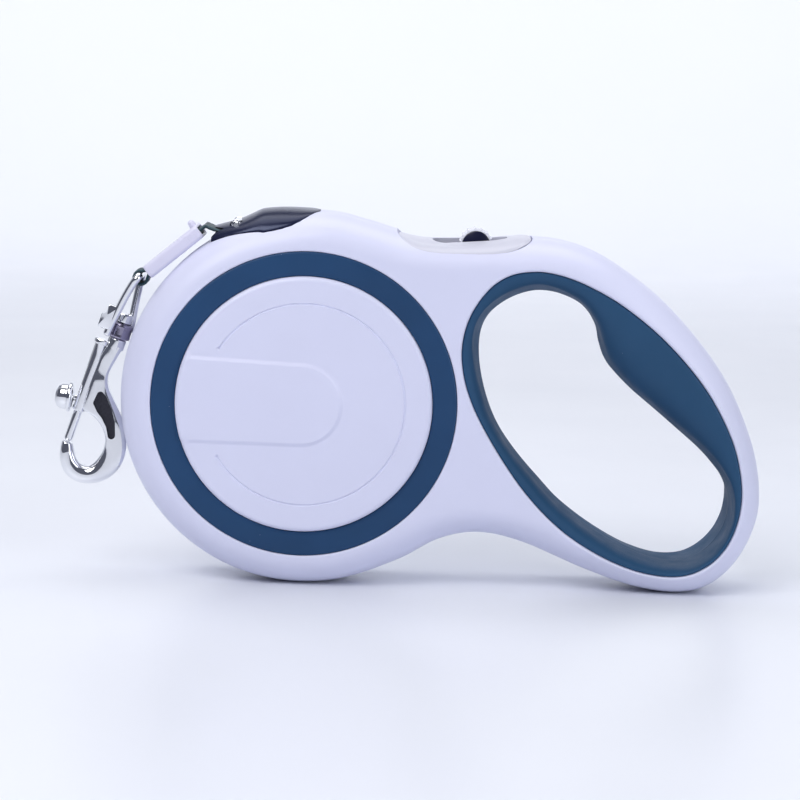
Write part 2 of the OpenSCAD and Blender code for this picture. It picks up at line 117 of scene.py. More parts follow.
# along the mouth: x, half width, top, underside
MOUTH = [
    (-26.2, 7.3, 45.5, 42.2), (-25.6, 7.7, 46.2, 41.6), (-23.8, 8.5, 46.8, 41.2),
    (-21.6, 9.3, 47.4, 41.1), (-19.4, 10.1, 48.1, 41.9), (-17.6, 10.7, 48.8, 42.6),
    (-15.4, 11.3, 49.9, 43.3), (-13.4, 11.8, 50.9, 43.7), (-12.0, 12.3, 51.3, 43.9),
    (-9.5, 12.4, 51.6, 44.2), (-7.0, 12.3, 51.75, 44.6), (-4.5, 11.9, 51.8, 45.2),
    (-2.2, 10.8, 51.75, 46.0), (-0.4, 9.2, 51.7, 46.8), (1.0, 7.2, 51.6, 47.4), (2.0, 4.8, 51.5, 47.9),
    (2.6, 2.6, 51.45, 48.3), (2.9, 0.9, 51.4, 48.6)]
# the brake panel's ridge, and the tape's way through the mouth
RIDGE = [(24, 45.7), (27, 44.9), (30, 44.4), (35, 44.1), (42, 44.1), (49, 44.5), (54, 45.2), (57.5, 45.7),
         (60, 45.5)]
CHANNEL = [(-2, 42.6), (-30, 43.7), (-30, 46.2), (-24, 46.1), (-2, 44.6)]
ROLLERS = {"upper": (-19.5, 47.1), "lower": (-23.3, 42.9)}
SCREWS = [(49, -29), (68, 41.3), (99.3, 21.8), (121.6, -23), (95.5, -47)]
# brake panel: middle, half length, half width and the power of its superellipse
PANEL_X, PANEL_L, PANEL_W, PANEL_POWER = 42.0, 18.0, 12.9, 4.5
# the button's slot in the panel: middle, half length, half width, corner radius
SLOT_X, SLOT_L, SLOT_W, SLOT_R = 43.5, 10.1, 4.5, 3.6
BUTTON_X = 45.1
# sleeve: where the tape enters it, its slope and its size
SLEEVE_START, SLEEVE_SLOPE = (-28.9, 45.5), math.radians(40)
SLEEVE_L, SLEEVE_W, SLEEVE_T = 18.2, 14.0, 3.9
# how fast the tape's ribs turn along it, in radians a mm
WEAVE = 2 * math.pi / 1.1
# the eye's bar, how the hook leans from it, and in the hook's frame the barrel's axis and the knob
LOOP_AT, LEAN, RING_DROP = (-45.7, 32.2), math.radians(18.5), 16.4
BARREL_P, KNOB_Q = -3.6, -22.0
# the cover's tongue: middle of its round end, half width, and how its two edges slope
TONGUE_X, TONGUE_HALF, TONGUE_RISE, TONGUE_FALL = -0.8, 11.5, 1.7 / 39.2, 0.4 / 39.2
GROOVE_R, GROOVE_W, GROOVE_END = 27.2, 0.34, math.radians(147.5)
# the dots that end the groove
DOTS, DOT_R = [(GROOVE_R * math.cos(a), GROOVE_R * math.sin(a)) for a in (GROOVE_END, -GROOVE_END)], 0.7


# ---------- frames ----------

def reel(p):
    """(x, y, z) in mm about the reel's axis, into the row frame in metres."""
    return (REEL.x + p[0] * MM, p[1] * MM, REEL.z + p[2] * MM)


def hook(p):
    """(across, depth, along) in the hook's own frame; it hangs below the swivel ring."""
    ox = LOOP_AT[0] - RING_DROP * math.sin(LEAN)
    oz = LOOP_AT[1] - RING_DROP * math.cos(LEAN)
    return reel((ox + p[0] * math.cos(LEAN) + p[2] * math.sin(LEAN), p[1],
                 oz - p[0] * math.sin(LEAN) + p[2] * math.cos(LEAN)))


def hook_way(d):
    """A direction in the hook's frame, as a unit vector of the row frame."""
    return (Vector(hook(d)) - Vector(hook((0, 0, 0)))).normalized()


def sleeve(p):
    """(down the tape, depth, up from its face) in the sleeve's frame."""
    c, s = math.cos(SLEEVE_SLOPE), math.sin(SLEEVE_SLOPE)
    return reel((SLEEVE_START[0] - p[0] * c - p[2] * s, p[1], SLEEVE_START[1] - p[0] * s + p[2] * c))


# ---------- curves ----------

def spline(pts, steps, closed=True):
    """Catmull-Rom through 2D or 3D points."""
    pts = [np.array(p, float) for p in pts]
    n = len(pts)
    out = []
    last = n if closed else n - 1
    for i in range(last):
        a = pts[(i - 1) % n] if closed or i else 2 * pts[0] - pts[1]
        b, c = pts[i], pts[(i + 1) % n]
        d = pts[(i + 2) % n] if closed or i + 2 < n else 2 * pts[-1] - pts[-2]
        for k in range(steps):
            t = k / steps
            out.append(0.5 * (2 * b + (c - a) * t + (2 * a - 5 * b + 4 * c - d) * t * t
                              + (3 * b - a - 3 * c + d) * t ** 3))
    if not closed:
        out.append(pts[-1])
    return np.array(out)


def normals(c):
    """Unit normals that point out of a counter-clockwise closed curve."""
    d = np.roll(c, -1, 0) - np.roll(c, 1, 0)
    d /= np.linalg.norm(d, axis=1)[:, None]
    return np.stack([d[:, 1], -d[:, 0]], 1)


def turn(n):
    """The angles of n even steps round a circle."""
    return np.arange(n) * 2 * math.pi / n


def circle(r, n=160, at=(0, 0)):
    a = turn(n)
    return np.stack([at[0] + r * np.cos(a), at[1] + r * np.sin(a)], 1)


def ease(t):
    t = max(0.0, min(1.0, t))
    return t * t * (3 - 2 * t)


def run_of(route):
    """Length along a route at each of its points, and the unit normals on its upper side."""
    seg = np.linalg.norm(np.diff(route, axis=0), axis=1)
    d = np.gradient(route, axis=0)
    d /= np.linalg.norm(d, axis=1)[:, None]
    return np.concatenate([[0], np.cumsum(seg)]), np.stack([-d[:, 1], d[:, 0]], 1)


def rounded(pts, r, steps=4, closed=False):
    """A profile with its corners rounded to radius r, or less where an edge is short."""
    pts = [np.array(p, float) for p in pts]
    n = len(pts)
    out = []
    for i, p in enumerate(pts):
        if not closed and i in (0, n - 1):
            out.append(p)
            continue
        a, b = pts[i - 1] - p, pts[(i + 1) % n] - p
        la, lb = np.linalg.norm(a), np.linalg.norm(b)
        a, b = a / la, b / lb
        half = math.acos(max(-1, min(1, float(a @ b)))) / 2
        if half > math.radians(88):
            out.append(p)
            continue
        cut = min(r / math.tan(half), la * 0.48, lb * 0.48)
        rr = cut * math.tan(half)
        mid = (a + b) / np.linalg.norm(a + b)
        centre = p + mid * rr / math.sin(half)
        s, e = p + a * cut - centre, p + b * cut - centre
        bend = math.acos(max(-1, min(1, float(s @ e) / rr ** 2)))
        for k in range(steps + 1):
            f = k / steps
            arm = math.sin((1 - f) * bend) * s + math.sin(f * bend) * e
            out.append(centre + arm / max(math.sin(bend), 1e-9))
    return np.array(out)


def inside(p, poly):
    x, y = p
    hit = False
    for i in range(len(poly)):
        (x1, y1), (x2, y2) = poly[i - 1], poly[i]
        if (y1 > y) != (y2 > y) and x < (x2 - x1) * (y - y1) / (y2 - y1) + x1:
            hit = not hit
    return hit


# ---------- meshes ----------

class Build:
    """Collects vertices in a local frame, then makes one smooth mesh object."""

    def __init__(self, to=reel):
        self.v, self.f, self.to = [], [], to

    def ring(self, pts):
        start = len(self.v)
        self.v.extend(tuple(p) for p in pts)
        return list(range(start, start + len(pts)))

    def skin(self, rings, closed=True, flip=False):
        for a, b in zip(rings, rings[1:]):
            n = len(a)
            for i in range(n if closed else n - 1):
                j = (i + 1) % n
                q = (a[i], a[j], b[j], b[i])
                self.f.append(q[::-1] if flip else q)

    def cap(self, ring, flip=False):
        """Closes a ring with a fan to its middle."""
        mid = np.mean([self.v[i] for i in ring], 0)
        c = len(self.v)
        self.v.append(tuple(mid))
        for i in range(len(ring)):
            q = (ring[i], ring[(i + 1) % len(ring)], c)
            self.f.append(q[::-1] if flip else q)

    def sheet(self, loops, lift, drop=None, open_lines=(), free=()):
        """A triangulated sheet over loops, lines and free points in the plane.

        lift(u, v) gives each point in 3D, and drop(middle) says which triangles are left out.
        """
        pts, edges = [], []
        for lp, shut in [(x, True) for x in loops] + [(x, False) for x in open_lines]:
            s = len(pts)
            pts.extend(Vector((float(x), float(y))) for x, y in lp)
            n = len(lp)
            edges.extend((s + i, s + (i + 1) % n) for i in range(n if shut else n - 1))
        pts.extend(Vector((float(x), float(y))) for x, y in free)
        co, _, faces = delaunay_2d_cdt(pts, edges, [], 1, 1e-5)[:3]
        start = len(self.v)
        self.v.extend(tuple(lift(p.x, p.y)) for p in co)
        for f in faces:
            m = np.mean([co[i] for i in f], 0)
            if not (drop and drop(m)):
                self.f.append(tuple(start + i for i in f))

    def done(self, name, mats, body, slot=None, replaces=None, angle=32):
        me = bpy.data.meshes.new(name)
        me.from_pydata([self.to(p) for p in self.v], [], self.f)
        bm = bmesh.new()
        bm.from_mesh(me)
        bmesh.ops.remove_doubles(bm, verts=bm.verts, dist=WELD)
        bmesh.ops.dissolve_degenerate(bm, dist=1e-8, edges=bm.edges)
        bmesh.ops.recalc_face_normals(bm, faces=bm.faces)
        bm.to_mesh(me)
        bm.free()
        ob = bpy.data.objects.new(name, me)
        bpy.context.scene.collection.objects.link(ob)
        for m in mats if isinstance(mats, list) else [mats]:
            me.materials.append(m)
        shade(ob, angle)
        if replaces:
            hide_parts(replaces)
        if body:
            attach(ob, body)
        return ob


def shade(ob, angle):
    me = ob.data
    me.polygons.foreach_set("use_smooth", [True] * len(me.polygons))
    me.set_sharp_from_angle(angle=math.radians(angle))


def carve(ob, cutters, angle):
    """Cuts solids out of ob, then deletes them."""
    for c in cutters:
        m = ob.modifiers.new("cut", "BOOLEAN")
        m.operation = "DIFFERENCE"
        m.solver = "EXACT"
        m.object = c
    dg = bpy.context.evaluated_depsgraph_get()
    me = bpy.data.meshes.new_from_object(ob.evaluated_get(dg))
    ob.modifiers.clear()
    ob.data = me
    for c in cutters:
        bpy.data.objects.remove(c, do_unlink=True)
    shade(ob, angle)


def prism(poly, y0, y1, to=reel, plane="xz"):
    """A solid to cut with: an outline and two depths. plane xy is seen from above."""
    b = Build(to)
    poly = [tuple(p) for p in poly]
    at = (lambda p, d: (p[0], d, p[1])) if plane == "xz" else (lambda p, d: (p[0], p[1], d))
    lo_ring = b.ring([at(p, y0) for p in poly])
    hi_ring = b.ring([at(p, y1) for p in poly])
    b.skin([lo_ring, hi_ring])
    b.f.append(tuple(lo_ring[::-1]))
    b.f.append(tuple(hi_ring))
    return b.done("cutter", [], None)


def lathe(b, profile, at, axis, steps):
    """Turns (radius, height) pairs about a line along y or z of b's frame; at is where it passes."""
    rings = []
    for r, h in profile:
        pts = circle(r, steps, at)
        rings.append(b.ring([(p[0], h, p[1]) if axis == "y" else (p[0], p[1], h) for p in pts]))
    b.skin(rings)
    b.cap(rings[0], flip=True)
    b.cap(rings[-1])
    return rings


def tube(b, path, radius, steps=20):
    """A round bar along a 3D path, with rounded ends."""
    path = [np.array(p, float) for p in path]
    n = len(path)
    tang = [path[min(i + 1, n - 1)] - path[max(i - 1, 0)] for i in range(n)]
    tang = [t / np.linalg.norm(t) for t in tang]
    side = np.cross(tang[0], (0.3, 0.2, 1.0))
    side /= np.linalg.norm(side)
    rings = []

    def put(c, t, s, r):
        u = np.cross(t, s)
        rings.append(b.ring([c + r * (math.cos(a) * s + math.sin(a) * u) for a in turn(steps)]))

    def end(i, way, parts):
        for k in parts:
            a = math.radians(90 * k)
            put(path[i] + way * tang[i] * radius * math.cos(a) * 0.7, tang[i], side, radius * math.sin(a))

    for i in range(n):
        side = side - tang[i] * (side @ tang[i])
        side /= np.linalg.norm(side)
        if i == 0:
            end(0, -1, (0.2, 0.5, 0.8))
        put(path[i], tang[i], side, radius)
    end(n - 1, 1, (0.8, 0.5, 0.2))
    b.skin(rings)
    b.cap(rings[0], flip=True)
    b.cap(rings[-1])


# ---------- materials ----------

def material(name, base, rough, metal=0.0, **extra):
    m = bpy.data.materials.new(name)
    m.use_nodes = True
    p = m.node_tree.nodes["Principled BSDF"]
    p.inputs["Base Color"].default_value = (*base, 1)
    p.inputs["Roughness"].default_value = rough
    p.inputs["Metallic"].default_value = metal
    for k, v in extra.items():
        p.inputs[k.replace("_", " ")].default_value = v
    m.diffuse_color = (*base, 1)
    return m


def node(m, kind, links=None, **props):
    n = m.node_tree.nodes.new(kind)
    for k, v in props.items():
        if k in n.inputs:
            n.inputs[k].default_value = v
        else:
            setattr(n, k, v)
    for socket, source in (links or {}).items():
        m.node_tree.links.new(source, n.inputs[socket])
    return n


def coords(m, stretch=(1, 1, 1)):
    t = node(m, "ShaderNodeTexCoord")
    return node(m, "ShaderNodeMapping", {"Vector": t.outputs["Object"]}, Scale=stretch).outputs["Vector"]


def noise(m, scale, detail=3.0, rough=0.55, stretch=(1, 1, 1)):
    return node(m, "ShaderNodeTexNoise", {"Vector": coords(m, stretch)}, Scale=scale, Detail=detail,
                Roughness=rough).outputs["Fac"]


def spread(m, fac, lo, hi, a=0.3, b=0.7):
    """Maps fac from a..b to lo..hi."""
    n = node(m, "ShaderNodeMapRange", {"Value": fac})
    for i, v in zip((1, 2, 3, 4), (a, b, lo, hi)):
        n.inputs[i].default_value = v
    return n.outputs["Result"]


def link(m, out, socket):
    m.node_tree.links.new(out, m.node_tree.nodes["Principled BSDF"].inputs[socket])


def tint(m, fac, one, two):
    """Mixes two colours by fac into the base colour."""
    mix = node(m, "ShaderNodeMix", data_type="RGBA")
    m.node_tree.links.new(fac, mix.inputs[0])
    mix.inputs[6].default_value = (*one, 1)
    mix.inputs[7].default_value = (*two, 1)
    link(m, mix.outputs[2], "Base Color")
    return mix


def bumpy(m, height, depth):
    b = node(m, "ShaderNodeBump", {"Height": height}, Strength=1.0, Distance=depth)
    link(m, b.outputs["Normal"], "Normal")


def moulded(name, base, rough, vary=0.04, grain=9000, depth=0.00002, dust=None, **extra):
    """Injection-moulded plastic: tone drift, uneven gloss, fine grain and, on dark parts, dust."""
    m = material(name, base, rough, **extra)
    dark = tuple(c * (1 - vary) for c in base)
    light = tuple(min(1, c * (1 + vary)) for c in base)
    mix = tint(m, spread(m, noise(m, 35, 4), 0, 1), dark, light)
    link(m, spread(m, noise(m, 160, 5, 0.6), rough * 0.86, rough * 1.16), "Roughness")
    bumpy(m, noise(m, grain, 2), depth)
    if dust:
        cells = node(m, "ShaderNodeTexVoronoi", {"Vector": coords(m)}, Scale=dust)
        rare = node(m, "ShaderNodeTexWhiteNoise", {"Vector": cells.outputs["Position"]})
        near = spread(m, cells.outputs["Distance"], 1, 0, 0.05, 0.075)
        few = spread(m, rare.outputs["Value"], 0, 1, 0.965, 0.968)
        both = node(m, "ShaderNodeMath", operation="MULTIPLY")
        m.node_tree.links.new(near, both.inputs[0])
        m.node_tree.links.new(few, both.inputs[1])
        top = node(m, "ShaderNodeMix", data_type="RGBA")
        m.node_tree.links.new(both.outputs[0], top.inputs[0])
        m.node_tree.links.new(mix.outputs[2], top.inputs[6])
        top.inputs[7].default_value = (0.42, 0.5, 0.62, 1)
        link(m, top.outputs[2], "Base Color")
    return m


def metal(name, base, rough, brush=(1, 1, 1), scale=900, depth=0.000004):
    """Plated or plain metal with fine wear marks and uneven polish."""
    m = material(name, base, rough, 1.0)
    marks = noise(m, scale, 5, 0.65, brush)
    link(m, spread(m, marks, rough * 0.7, rough * 1.5), "Roughness")
    tint(m, spread(m, noise(m, 120, 4), 0, 1), tuple(c * 0.93 for c in base), base)
    bumpy(m, marks, depth)
    return m


def woven(name, base, light):
    """Tightly woven polyester: the ribs are in the mesh, and this adds the threads across them."""
    m = material(name, base, 0.62, Sheen_Weight=0.35, Sheen_Roughness=0.4)
    waves = node(m, "ShaderNodeTexWave", {"Vector": coords(m)}, wave_type="BANDS", bands_direction="Y",
                 Scale=480, Distortion=1.2, Detail=2)
    tint(m, waves.outputs["Fac"], base, light)
    link(m, spread(m, noise(m, 2600, 4), 0.5, 0.8), "Roughness")
    bumpy(m, waves.outputs["Fac"], 0.00005)
    return m


SMOOTH = {"vary": 0.012, "grain": 7000, "depth": 0.000006, "Specular_IOR_Level": 0.45}
casing_mat = moulded("casing_plastic", (0.70, 0.715, 0.90), 0.38, **SMOOTH)
cover_mat = moulded("cover_plastic", (0.70, 0.715, 0.90), 0.36, **SMOOTH)
panel_mat = moulded("panel_plastic", (0.62, 0.625, 0.725), 0.34, **SMOOTH)
accent_mat = moulded("accent_plastic", (0.011, 0.052, 0.14), 0.5, vary=0.1, depth=0.000012, dust=900,
                     Specular_IOR_Level=0.3)
grip_mat = moulded("soft_grip", (0.02, 0.072, 0.158), 0.58, vary=0.08, grain=5200, depth=0.00003, dust=800,
                   Specular_IOR_Level=0.22)
mouth_mat = moulded("smoky_plastic", (0.008, 0.01, 0.034), 0.24, vary=0.12, grain=3000, depth=0.000004,
                    Specular_Tint=(0.62, 0.7, 1.0, 1))
button_mat = moulded("button_plastic", (0.008, 0.01, 0.035), 0.2, vary=0.15, grain=4000, depth=0.000008)
rim_mat = moulded("button_rim_plastic", (0.74, 0.75, 0.84), 0.25, vary=0.02, depth=0.000006)
sleeve_mat = moulded("sleeve_plastic", (0.72, 0.71, 0.88), 0.28, vary=0.03, grain=3000, depth=0.000008)
inner_mat = moulded("inner_plastic", (0.45, 0.47, 0.52), 0.45, vary=0.08)
tape_mat = woven("tape_weave", (0.003, 0.024, 0.038), (0.009, 0.06, 0.082))
chrome_mat = metal("chrome_plate", (0.86, 0.87, 0.9), 0.07)
# near-black metal for the floor of the hook's pocket: painted shade in the recess
pocket_shade_mat = metal("pocket_painted_shade", (0.06, 0.06, 0.075), 0.5, scale=1400, depth=0.00012)
dark_mat = metal("dark_ring_metal", (0.32, 0.3, 0.4), 0.2)
steel_mat = metal("plain_steel", (0.62, 0.63, 0.65), 0.28, brush=(1, 14, 1))


# ---------- casing ----------

def edge_drop(y):
    """How far the casing's surface lies below its outline at a depth y."""
    k = max(0.0, abs(y) - BAND) / (HALF_DEPTH - BAND)
    return EDGE_W * (1 - math.sqrt(max(0.0, 1 - k * k)))


def edge_depth(d):
    """The depth of the casing's surface at a distance d inside its outline."""
    k = 1 - max(0.0, min(d, EDGE_W)) / EDGE_W
    return BAND + (HALF_DEPTH - BAND) * math.sqrt(1 - k * k)


OUTLINE = spline(CASING, 10)


def to_outline(x, z):
    """Distance from a point to the casing's outline."""
    a, b = OUTLINE, np.roll(OUTLINE, -1, 0)
    d = b - a
    t = np.clip(((np.array((x, z)) - a) * d).sum(1) / (d * d).sum(1), 0, 1)
    gap = a + d * t[:, None] - (x, z)
    return float(np.sqrt((gap * gap).sum(1)).min())


def top_at(x):
    """Height of the casing's upper outline at x."""
    up = OUTLINE[(OUTLINE[:, 1] > 20) & (OUTLINE[:, 0] > -45)]
    up = up[np.argsort(up[:, 0])]
    return float(np.interp(x, up[:, 0], up[:, 1]))


def casing_shell(name, side):
    """Half of the casing: a flat band at the parting line, a rounding, and the flat face."""
    b = Build()
    c = OUTLINE
    nv = normals(c)

    def at(inset, y):
        return [(p[0], side * y, p[1]) for p in c - nv * inset]

    levels = [(0.22, 0.0), (0.06, 0.16), (0.0, 0.4), (0.0, 2.6), (0.0, 5.0)]
    for k in range(1, 9):
        a = math.radians(6.64 * k)
        levels.append((EDGE_W * (1 - math.cos(a)), BAND + (HALF_DEPTH - BAND) * math.sin(a)))
    b.skin([b.ring(at(*lv)) for lv in levels])
    first = levels[-1][0]

    g = spline(GRIP_OUT, 6)
    gn = normals(g)
    # the rounded edges of the hand opening and of the ring's recess, and the reel's room
    hole_g, hole_r, seam = g + gn * GRIP_EDGE, circle(RING_R + RING_EDGE), c - nv * levels[0][0]
    lips = [edge_depth(to_outline(*p)) for p in hole_g]
    b.skin([b.ring([(p[0], side * max(0.0, y - fall), p[1]) for p, y in zip(g + gn * grow, lips)])
            for grow, fall in ((GRIP_EDGE, 0), (0.68, 0.0), (0.45, 0.05), (0.2, 0.22), (0.04, 0.5), (0.0, 0.9),
                               (0.0, 20))])
    rim = [edge_depth(to_outline(*p)) for p in hole_r]
    b.skin([b.ring([(p[0], side * max(RING_FLOOR, y - fall), p[1]) for p, y in zip(circle(RING_R + grow), rim)])
            for grow, fall in ((RING_EDGE, 0), (0.43, 0), (0.28, 0.04), (0.1, 0.16), (0.0, 0.4), (0.0, 20))])
    room = [(ROOM_R, 0.0), (ROOM_R, 9.0), (ROOM_END_R, 9.2), (ROOM_END_R, ROOM_DEPTH)]
    b.skin([b.ring([(p[0], side * y, p[1]) for p in circle(r)]) for r, y in room])

    # points that hold the face's curve near the outline and the hand opening
    clear_g = g + gn * (GRIP_EDGE + 0.4)
    clear_r = RING_R + RING_EDGE + 0.4
    free = []
    for inset in (3.9, 4.5, 5.1, 5.8, 6.6, 7.4, 8.0, 8.5, 9.2, 11.0, 14.0):
        for p in (c - nv * inset)[::2]:
            if math.hypot(*p) > clear_r and not inside(p, clear_g) and to_outline(*p) > inset - 0.2:
                free.append(p)
    for grow in (1.25, 1.9, 2.8):
        for p in g + gn * grow:
            if math.hypot(*p) > clear_r and to_outline(*p) > first + 0.3:
                free.append(p)
    b.sheet([c - nv * first, hole_g, hole_r], lambda x, z: (x, side * edge_depth(to_outline(x, z)), z),
            drop=lambda m: inside(m, hole_g) or math.hypot(*m) < RING_R + RING_EDGE, free=free)
    b.sheet([circle(RING_R)], lambda x, z: (x, side * RING_FLOOR, z))
    b.sheet([seam, g, circle(ROOM_R)], lambda x, z: (x, 0.0, z),
            drop=lambda m: inside(m, g) or math.hypot(*m) < ROOM_R)
    b.sheet([circle(ROOM_END_R)], lambda x, z: (x, side * ROOM_DEPTH, z))
    ob = b.done(name + "_casing", casing_mat, None, "casing")
    cutters = [mouth_cutter(), prism(panel_oval(PANEL_L + 0.3, PANEL_W + 0.3, 96), 40.9, 60, plane="xy"),
               prism([(27, 43), (28, 37), (33, 33), (47.8, 33), (50, 36.5), (56, 38.6), (56, 43)], -5.4, 5.4)]
    if side > 0:
        cutters += [prism(circle(1.95, 40, p), 4.0, 20) for p in SCREWS]
    carve(ob, cutters, 30)
    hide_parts(name + "_shell")
    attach(ob, "casing")


def panel_oval(hl, hw, n):
    """The brake panel's outline from above: a superellipse in n even steps."""
    a = np.arange(720) * math.pi / 360
    c, s = np.cos(a), np.sin(a)
    x = PANEL_X + hl * np.sign(c) * np.abs(c) ** (2 / PANEL_POWER)
    y = hw * np.sign(s) * np.abs(s) ** (2 / PANEL_POWER)
    x, y = np.append(x, x[0]), np.append(y, y[0])
    along = np.concatenate([[0], np.cumsum(np.hypot(np.diff(x), np.diff(y)))])
    at = np.arange(n) * along[-1] / n
    return list(zip(np.interp(at, along, x), np.interp(at, along, y)))


def mouth_cutter():
    """The room the mouth's insert takes out of the casing."""
    b = Build()
    rings = []
    for x, w, _, low in [(MOUTH[0][0] - 6, 7.3, 0, 41.5)] + MOUTH + [(3.05, 0.4, 51.4, 48.8)]:
        w, low = w + 0.14, low - 0.1
        rings.append(b.ring([(x, -w, low), (x, w, low), (x, w, 58), (x, -w, 58)]))
    b.skin(rings)
    b.f.append(tuple(rings[0]))
    b.f.append(tuple(rings[-1][::-1]))
    return b.done("cutter", [], None)


def accent_ring(name, side):
    b = Build()
    low = RING_FLOOR + 0.02
    prof = rounded([(COVER_R + 0.12, low), (COVER_R + 0.12, 14.82), (COVER_R + 1.2, RING_FACE),
                    (RING_R - 0.5, RING_FACE), (RING_R - 0.07, 14.7), (RING_R - 0.07, low)], 0.25, 3)
    rings = [b.ring([(p[0], side * y, p[1]) for p in circle(r, 192)]) for r, y in prof]
    b.skin(rings + rings[:1])
    b.done(name + "_accent_ring", accent_mat, "casing", "accent", name + "_ring", 40)


def tongue_depth(x, z):
    """How far a point is inside the raised tongue's outline."""
    if x > TONGUE_X:
        return TONGUE_HALF - math.hypot(x - TONGUE_X, z)
    if z > 0:
        return TONGUE_HALF + TONGUE_RISE * (TONGUE_X - x) - z
    return TONGUE_HALF - TONGUE_FALL * (TONGUE_X - x) + z


def cover_height(x, z):
    """Height over the cover's face at a point, from its rim, tongue, groove and the groove's dots."""
    r = math.hypot(x, z)
    h = 0.6 * ease(tongue_depth(x, z) / 1.3)
    if r > COVER_R - 1.5:
        h -= 1.15 * (1 - math.sqrt(max(0.0, 1 - ((r - COVER_R + 1.5) / 1.5) ** 2)))
    if abs(r - GROOVE_R) < GROOVE_W and abs(math.atan2(z, x)) <= GROOVE_END:
        h -= 0.3 * (1 - ((r - GROOVE_R) / GROOVE_W) ** 2)
    for dx, dz in DOTS:
        d = math.hypot(x - dx, z - dz)
        if d < DOT_R:
            h -= 0.25 * (1 - (d / DOT_R) ** 2)
    return h


def cover(name, side):
    def face(x, z):
        return x, side * (COVER_FACE + cover_height(x, z)), z

    b = Build()
    loops = [circle(COVER_R - d, 192) for d in (0, 0.04, 0.14, 0.3, 0.5, 0.75, 1.0, 1.3, 1.5, 1.6)]
    lines = []
    far = -30.2
    for d in (-0.1, 0.0, 0.2, 0.4, 0.65, 0.9, 1.1, 1.3, 1.4):
        hw = TONGUE_HALF - d
        lines.append([(far, hw + TONGUE_RISE * (TONGUE_X - far))]
                     + [(TONGUE_X + hw * math.cos(t), hw * math.sin(t)) for t in
                        np.linspace(math.pi / 2, -math.pi / 2, 64)]
                     + [(far, -hw + TONGUE_FALL * (TONGUE_X - far))])
    for d in (-0.42, -0.34, -0.22, -0.1, 0, 0.1, 0.22, 0.34, 0.42):
        lines.append([((GROOVE_R + d) * math.cos(t), (GROOVE_R + d) * math.sin(t)) for t in
                      np.linspace(-GROOVE_END, GROOVE_END, 240)])
    loops += [circle(r, 24, at) for at in DOTS for r in (0.78, 0.7, 0.45, 0.2)]
    b.sheet(loops, face, open_lines=lines)
    rim = circle(COVER_R, 192)
    low = RING_FLOOR + 0.02
    b.skin([b.ring([face(*p) for p in rim])]
           + [b.ring([(p[0], side * y, p[1]) for p in rim]) for y in (14.0, low)])
    b.sheet([rim], lambda x, z: (x, side * low, z))
    b.done(name + "_round_cover", cover_mat, "casing", "casing", name + "_cover", 50)


def grip(name, side):
    """Crowned soft band round the hand opening, with a seam at the parting line."""
    b = Build()
    gi, go = spline(GRIP_IN, 6), spline(GRIP_OUT, 6)
    sect = spline([(0.0, 0.05), (2.6, 0.0), (6.0, 0.045), (9.5, 0.14), (12.2, 0.32), (13.7, 0.55),
                   (14.25, 0.78), (14.3, 0.93), (14.0, 0.985)], 3, closed=False)
    gn = normals(go)
    high = [min(1.0, (edge_depth(to_outline(*p)) - 0.3) / 14.3) for p in go]
    wide = np.linalg.norm(go - gi, axis=1)
    rings = [b.ring([(p[0], 0.0, p[1]) for p in gi + (go - gi) * 0.09])]
    for y, f in sect:
        # the crown is at least strong enough to hide the far half behind the near one
        part = np.clip(np.maximum(0.26 * max(0.0, y - 2.6) / wide, max(0.004, f)), 0, 0.985)
        line = gi + (go - gi) * part[:, None]
        rings.append(b.ring([(p[0], side * y * h, p[1]) for p, h in zip(line, high)]))
    for y in (13.4, 0.0):
        rings.append(b.ring([(p[0], side * y * h, p[1]) for p, h in zip(go - gn * 0.05, high)]))
    b.skin(rings + rings[:1])
    ob = b.done(name + "_soft_grip", grip_mat, None, "grip", angle=48)
    # a notch, so that the grip stays clear of the spool
    carve(ob, [prism(circle(45.5), *sorted((-side, side * 9.1)))], 48)
    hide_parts(name + "_grip")
    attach(ob, "casing")


def screws():
    b = Build()
    for x, z in SCREWS:
        head = rounded([(0, 5.5), (1.75, 5.45), (1.75, 4.02), (1.0, 4.0), (1.0, -7.9), (0.6, -8.0), (0, -8.0)],
                       0.25, 3)
        lathe(b, [(max(r, 0.001), h) for r, h in head], (x, z), "y", 40)
    ob = b.done("casing_screws", steel_mat, None, "steel", angle=40)
    cutters = []
    for x, z in SCREWS:
        for w, l in ((0.28, 1.1), (1.1, 0.28)):
            cutters.append(prism([(x - w, z - l), (x + w, z - l), (x + w, z + l), (x - w, z + l)], 4.8, 6))
    carve(ob, cutters, 40)
    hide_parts("shell_screws")
    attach(ob, "casing")


# ---------- tape mouth ----------

